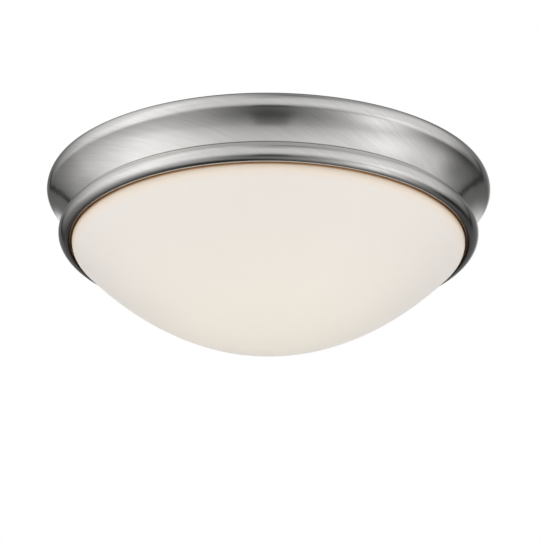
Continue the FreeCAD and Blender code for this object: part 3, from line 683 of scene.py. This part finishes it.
def makeInsulation():
    corner = wool["edgeRound"]
    cornerX = wool["radius"] - corner
    lowCorner = wool["bottom"] + corner
    highCorner = wool["top"] - wool["thinEdge"] - corner
    outline = Outline(0, wool["bottom"])
    outline.to(cornerX, wool["bottom"], 26)
    outline.round(cornerX, lowCorner, -90, 5)
    outline.to(wool["radius"], highCorner, 2)
    outline.round(cornerX, highCorner, -90, 5)
    outline.to(wool["radius"] * wool["fullShare"], wool["top"], 10)
    outline.to(0, wool["top"], 18)
    mesh = spunShape(outline, wool["segments"])
    for vert in mesh.verts:
        layers = (wool["tufts"], wool["fibres"])
        ragged = sum(depth * noise.noise(vert.co / size) for depth, size in layers)
        vert.co -= vert.normal * abs(ragged)
    piece = makePiece("wool_disc", mesh, "fixture", ["insulation_pad"], smoothAngle=50.0)
    low, high = wool["bottom"] - wool["drillPast"], wool["top"] + wool["drillPast"]
    wireRadius = wireHole["radius"] + wool["wireClear"]
    screwRadius = keyholes["studRadius"] + wool["screwClear"]
    studRadius = keyholes["studRadius"] + wool["studClear"]
    holes = bmesh.new()
    addDrill(holes, wireHole["x"], wireHole["y"], wireRadius, low, high)
    addDrill(holes, groundScrew["x"], groundScrew["y"], screwRadius, low, high)
    for side in (1, -1):
        addDrill(holes, side * keyholes["studX"], 0, studRadius, low, high)
    cutAway(piece, holes)


# Stamped and turned metal: copies of the solids with their sharp edges broken.
brokenEdges = {  # mm
    "box_bar": 0.22, "stud_bar": 0.22, "holder_bracket_1": 0.18, "holder_bracket_2": 0.18,
    "stud_nuts": 0.15, "ground_screw": 0.15, "holder_screws": 0.12, "ground_terminal": 0.1,
}
flatAngle, sharpAngle = math.radians(1), math.radians(32)


def breakEdges(node, width):
    mesh = bmesh.new()
    mesh.from_mesh(frame["nodes"][node].data)
    bmesh.ops.remove_doubles(mesh, verts=mesh.verts, dist=joinDistance)
    bmesh.ops.dissolve_limit(mesh, angle_limit=flatAngle, verts=mesh.verts, edges=mesh.edges)
    sharp = [edge for edge in mesh.edges if edge.calc_face_angle(0) > sharpAngle]
    bmesh.ops.bevel(
        mesh, geom=sharp, offset=width * mm, offset_type="OFFSET", affect="EDGES", segments=2,
        profile=0.5, material=-1, clamp_overlap=True,
    )
    makePiece(node + "_finished", mesh, bodyOf[node], [node], scale=1)


# Threads: a wavy chain that climbs one pitch in a turn meets itself again.
def threadedSleeve(mesh, crest, root, pitch, turns, start, pointsInPitch, steps):
    chain = Outline(root, start)
    middle, swing = (crest + root) / 2, (crest - root) / 2
    for index in range(1, turns * pointsInPitch + 1):
        radius = middle - swing * math.cos(fullTurn * index / pointsInPitch)
        chain.to(radius, start + pitch * index / pointsInPitch)
    sleeve = chain.mesh
    bmesh.ops.spin(
        sleeve, geom=sleeve.verts[:] + sleeve.edges[:], cent=(0, 0, 0), axis=(0, 0, 1),
        dvec=(0, 0, pitch / steps), angle=fullTurn, steps=steps,
    )
    bmesh.ops.remove_doubles(sleeve, verts=sleeve.verts, dist=joinDistance / mm)
    bmesh.ops.recalc_face_normals(sleeve, faces=sleeve.faces)
    addMesh(mesh, sleeve)


def addMesh(mesh, other):
    data = bpy.data.meshes.new("part")
    other.to_mesh(data)
    other.free()
    mesh.from_mesh(data)
    bpy.data.meshes.remove(data)


studs = {
    "crest": 2.05, "root": 1.72, "pitch": 0.794, "turns": 22, "threadStart": -21.0,
    "end": -21.5, "endChamfer": 0.4, "top": -1.6, "shankGap": 0.02,
    "headRadius": 4.0, "headTop": -0.3, "headRound": 0.35,
    "pointsInPitch": 4, "threadSteps": 20, "steps": 32,
}


def makeStuds():
    mesh = bmesh.new()
    threadedSleeve(
        mesh, studs["crest"], studs["root"], studs["pitch"], studs["turns"],
        studs["threadStart"], studs["pointsInPitch"], studs["threadSteps"],
    )
    head, corner, chamfer = studs["headRadius"], studs["headRound"], studs["endChamfer"]
    outline = Outline(0, studs["end"])
    outline.to(studs["root"] - chamfer, studs["end"])
    outline.to(studs["root"], studs["end"] + chamfer)
    outline.to(studs["root"] + studs["shankGap"], studs["top"], 2)
    outline.to(head, studs["top"])
    outline.to(head, studs["headTop"] - corner)
    outline.round(head - corner, studs["headTop"] - corner, -90, 4)
    outline.to(0, studs["headTop"])
    addMesh(mesh, spunShape(outline, studs["steps"]))
    bmesh.ops.translate(mesh, vec=(keyholes["studX"], 0, 0), verts=mesh.verts)
    pair = bmesh.ops.duplicate(mesh, geom=mesh.verts[:] + mesh.edges[:] + mesh.faces[:])["geom"]
    moved = [item for item in pair if isinstance(item, bmesh.types.BMVert)]
    bmesh.ops.translate(mesh, vec=(-2 * keyholes["studX"], 0, 0), verts=moved)
    makePiece("threaded_studs", mesh, "fixture", ["mounting_studs"])


# Lamps. Distance along a lamp is measured from the mouth of its holder inwards.
lampPlace = {"mouth": 60.0, "offset": 38.0, "depth": -54.0, "threadPitch": 3.63}


def alongLamp(mesh, number):
    place = (lampPlace["mouth"], lampPlace["offset"], lampPlace["depth"])
    lying, halfTurn = Matrix.Rotation(math.pi / 2, 3, "Y"), Matrix.Rotation(math.pi, 3, "Z")
    bmesh.ops.rotate(mesh, verts=mesh.verts, cent=(0, 0, 0), matrix=lying)
    bmesh.ops.translate(mesh, verts=mesh.verts, vec=place)
    if number == 2:
        bmesh.ops.rotate(mesh, verts=mesh.verts, cent=(0, 0, 0), matrix=halfTurn)


bulb = {
    "start": -83.1, "radius": 30.0, "neckRadius": 12.1, "neckCurve": 45.0, "neckEnd": 4.9,
    "glass": 0.8, "steps": 96,
}


def makeBulb(number):
    ball = bulb["start"] + bulb["radius"]
    curveX = bulb["neckRadius"] + bulb["neckCurve"]
    rise = math.sqrt((bulb["radius"] + bulb["neckCurve"]) ** 2 - curveX**2)
    join = math.degrees(math.atan2(rise, curveX))
    outline = Outline(0, bulb["start"])
    outline.round(0, ball, -90 - join, 40)
    outline.round(curveX, ball + rise, join, 16)
    outline.to(bulb["neckRadius"], bulb["neckEnd"], 4)
    mesh = spunShape(outline, bulb["steps"])
    alongLamp(mesh, number)
    piece = makePiece(f"lamp_bulb_{number}", mesh, f"lamp_{number}", [f"lamp_glass_{number}"])
    thicken(piece, bulb["glass"])


screwCap = {
    "start": 0.9, "crest": 13.1, "root": 12.4, "turns": 4, "threadStart": 2.085,
    "rimRound": (0.15, 0.3), "rimWaist": (0.1, 1.6), "rimEnd": 2.3, "bodyGap": 0.03,
    "bodyEnd": 19.6, "shoulderRadius": 11.6, "shoulder": 20.2,
    "endRadius": 9.5, "end": 22.4, "endRound": (0.4, 0.3), "fold": 1.0,
    "pointsInPitch": 10, "steps": 72,
}


def makeScrewCap(number):
    mesh = bmesh.new()
    start, crest = screwCap["start"], screwCap["crest"]
    threadedSleeve(
        mesh, crest, screwCap["root"], lampPlace["threadPitch"], screwCap["turns"],
        screwCap["threadStart"], screwCap["pointsInPitch"], screwCap["steps"],
    )
    body = screwCap["root"] + screwCap["bodyGap"]
    inset, rise = screwCap["rimRound"]
    outline = Outline(crest - inset, start)
    outline.to(crest, start + rise)
    inset, rise = screwCap["rimWaist"]
    outline.to(crest - inset, start + rise, 2)
    outline.to(body, start + screwCap["rimEnd"])
    outline.to(body, screwCap["bodyEnd"], 3)
    outline.to(screwCap["shoulderRadius"], screwCap["shoulder"])
    inset, rise = screwCap["endRound"]
    outline.to(screwCap["endRadius"] + inset, screwCap["end"] - rise, 3)
    outline.to(screwCap["endRadius"], screwCap["end"])
    outline.to(screwCap["endRadius"] - screwCap["fold"], screwCap["end"])
    outline.to(screwCap["endRadius"] - screwCap["fold"], screwCap["end"] - screwCap["fold"])
    addMesh(mesh, spunShape(outline, screwCap["steps"]))
    alongLamp(mesh, number)
    makePiece(f"lamp_screw_cap_{number}", mesh, f"lamp_{number}", [f"lamp_cap_{number}"])


shell = {
    "start": 1.5, "crest": 13.5, "root": 13.16, "turns": 5, "plain": 13.42,
    "bottom": 30.1, "bottomRound": 1.2, "window": 6.0,
    "pointsInPitch": 10, "steps": 72,
}


def makeShell(number):
    mesh = bmesh.new()
    pitch = lampPlace["threadPitch"]
    threadedSleeve(
        mesh, shell["crest"], shell["root"], pitch, shell["turns"],
        shell["start"], shell["pointsInPitch"], shell["steps"],
    )
    threadEnd = shell["start"] + (shell["turns"] + 1) * pitch
    outline = Outline(shell["root"], threadEnd - pitch)
    outline.to(shell["plain"], threadEnd)
    outline.to(shell["plain"], shell["bottom"] - shell["bottomRound"], 2)
    outline.to(shell["plain"] - shell["bottomRound"], shell["bottom"], 4)
    outline.to(shell["window"], shell["bottom"], 3)
    addMesh(mesh, spunShape(outline, shell["steps"]))
    alongLamp(mesh, number)
    makePiece(f"threaded_shell_{number}", mesh, "fixture", [f"screw_shell_{number}"])


makePan()
makeGlassRing()
makeBowl()
print("pan, ring and bowl")
makeInsulation()
for name, width in brokenEdges.items():
    breakEdges(name, width)
makeStuds()
print("insulation and hardware")
for number in (1, 2):
    makeBulb(number)
    makeScrewCap(number)
    makeShell(number)
print("lamps and shells")


# Carried-over nodes keep their shape and take their finish.
for name, node in frame["nodes"].items():
    for held in node.material_slots:
        held.material = finishes[slotOf[name]]
print("carried-over nodes", len(frame["nodes"]))


# Studio: a pale floor far below, a white surrounding, and soft panels that only metal sees.
studio = {
    "floorHeight": -7.0, "floorRadius": 60.0,
    "white": 1.0,
    "roomBase": 0.81, "roomLowest": 0.035, "roomHighest": 1.6,
    # towards the far end the room darkens, and its backdrop has a dark edge
    "depthTilt": (0.11, 0.3), "farEnd": (0.25, 0.75), "farDimmer": -0.65,
    "stripDepths": (0.745, 0.757, 0.80, 0.812), "stripHeights": (-0.36, -0.26, 0.2, 0.3),
    "stripShare": 0.85, "stripUnevenness": 0.01,
    # below the camera stands a dark column, and beside it the floor begins
    "columnHeights": (-0.9, -0.8, -0.61, -0.53), "columnX": 0.02,
    "column": (0.11, 0.16), "columnShare": 0.42, "floorSide": (0.2, 0.3), "floorShare": 0.12,
}
# direction, tightness and brightness of each soft panel or dark flag
roomPanels = [
    ((-0.95, -0.31, 0.10), 8, 0.50),
    ((-0.14, 0.38, -0.91), 8, -0.81),
    ((0.00, -0.53, -0.85), 8, -0.66),
    ((0.67, 0.49, -0.56), 20, -0.52),
    ((0.14, -0.31, 0.94), 20, -0.55),
    ((0.88, -0.37, -0.31), 20, 0.47),
    ((-0.85, -0.28, -0.44), 20, 0.31),
    ((-0.55, 0.43, 0.72), 20, 0.33),
    ((0.72, 0.31, 0.62), 20, 0.31),
    ((-0.69, -0.37, 0.62), 20, 0.32),
    ((0.80, -0.46, 0.37), 20, 0.27),
    ((-0.73, 0.53, -0.44), 20, -0.24),
    ((-0.07, 0.20, 0.98), 20, -0.43),
    ((-0.64, -0.74, -0.17), 20, 0.15),
    ((0.53, -0.85, -0.03), 20, 0.14),
    ((0.62, -0.17, -0.77), 60, 0.56),
    ((0.14, 0.96, 0.24), 60, 0.65),
    ((0.51, 0.14, -0.85), 60, 0.45),
    ((0.00, -0.69, 0.72), 60, -0.29),
    ((0.47, -0.04, 0.88), 60, -0.25),
    ((0.79, 0.24, -0.56), 60, -0.24),
    ((-0.92, 0.37, 0.10), 60, -0.19),
    ((0.90, 0.41, -0.17), 60, -0.14),
    ((0.21, 0.84, 0.50), 60, 0.18),
    ((-0.14, 0.96, 0.24), 150, 0.87),
    ((0.40, 0.88, 0.24), 150, 0.28),
]


def makeWorld():
    world = bpy.data.worlds.new("studio")
    world.use_nodes = True
    bpy.context.scene.world = world
    tree = Tree(world.node_tree)
    direction = tree.add("ShaderNodeTexCoord", output="Generated")
    light = studio["roomBase"]
    product = {"operation": "DOT_PRODUCT"}
    for aim, tightness, brightness in roomPanels:
        facing = tree.add("ShaderNodeVectorMath", product, {0: direction, 1: aim}, "Value")
        light = light + math.e ** ((facing - 1.0) * tightness) * brightness
    x, y, z = tree.parts(direction)
    tiltX, tiltZ = studio["depthTilt"]
    depth = y + x * tiltX + z * tiltZ
    light = light + tree.level(depth, *studio["farEnd"], 0.0, studio["farDimmer"])
    uneven = studio["stripUnevenness"]
    edge = depth + tree.level(tree.noise(direction, 40.0, 1.0), 0.3, 0.7, -uneven, uneven)
    strip = tree.band(edge, *studio["stripDepths"]) * tree.band(z, *studio["stripHeights"])
    aside = abs(x - studio["columnX"])
    below = tree.level(aside, *studio["column"], studio["columnShare"], 0.0)
    below = below + tree.level(aside, *studio["floorSide"], 0.0, studio["floorShare"])
    below = below * tree.band(z, *studio["columnHeights"])
    light = light * (1 - strip * studio["stripShare"]) * (1 - below)
    light = light.held(studio["roomLowest"], studio["roomHighest"])
    grey = tree.add("ShaderNodeCombineColor", {}, {0: light, 1: light, 2: light})
    room = tree.add("ShaderNodeBackground", {}, {"Color": grey})
    plain = {"Color": (1, 1, 1, 1), "Strength": studio["white"]}
    white = tree.add("ShaderNodeBackground", {}, plain)
    glossy = tree.add("ShaderNodeLightPath", output="Is Glossy Ray")
    mixed = tree.add("ShaderNodeMixShader", {}, {0: glossy, 1: white, 2: room})
    tree.add("ShaderNodeOutputWorld", {}, {"Surface": mixed})


def makeFloor():
    mesh = bmesh.new()
    bmesh.ops.create_circle(mesh, cap_ends=True, segments=96, radius=studio["floorRadius"])
    bmesh.ops.translate(mesh, vec=(0, 0, studio["floorHeight"]), verts=mesh.verts)
    data = bpy.data.meshes.new("floor")
    mesh.to_mesh(data)
    mesh.free()
    floor = bpy.data.objects.new("floor", data)
    bpy.context.scene.collection.objects.link(floor)
    material, tree = newMaterial("pale_floor")
    dust = tree.noise(tree.point(), 2.0, 3.0)
    surface(tree, {
        "Base Color": tree.blend(dust, tone(250, 250, 249), tone(246, 246, 245)),
        "Roughness": 0.9,
        "Specular IOR Level": 0.0,
    })
    data.materials.append(material)
    floor.visible_glossy = False


view = {
    "place": (0.0, -4.5815, -2.0322),
    "lens": 448.5, "sensor": 36.0, "clipEnd": 200.0,
    "elevation": 23.184, "yaw": 0.0156, "roll": 0.22,  # degrees
}


def makeCamera():
    data = bpy.data.cameras.new("camera")
    data.lens = view["lens"]
    data.sensor_width = view["sensor"]
    data.clip_end = view["clipEnd"]
    camera = bpy.data.objects.new("camera", data)
    bpy.context.scene.collection.objects.link(camera)
    up, yaw = math.radians(view["elevation"]), math.radians(view["yaw"])
    ahead = Vector((math.sin(yaw) * math.cos(up), math.cos(yaw) * math.cos(up), math.sin(up)))
    turn = ahead.to_track_quat("-Z", "Y").to_matrix().to_4x4()
    roll = Matrix.Rotation(math.radians(view["roll"]), 4, "Z")
    camera.matrix_world = Matrix.Translation(view["place"]) @ turn @ roll
    bpy.context.scene.camera = camera


makeWorld()
makeFloor()
makeCamera()
bpy.context.scene.view_settings.view_transform = "Standard"
print("studio")
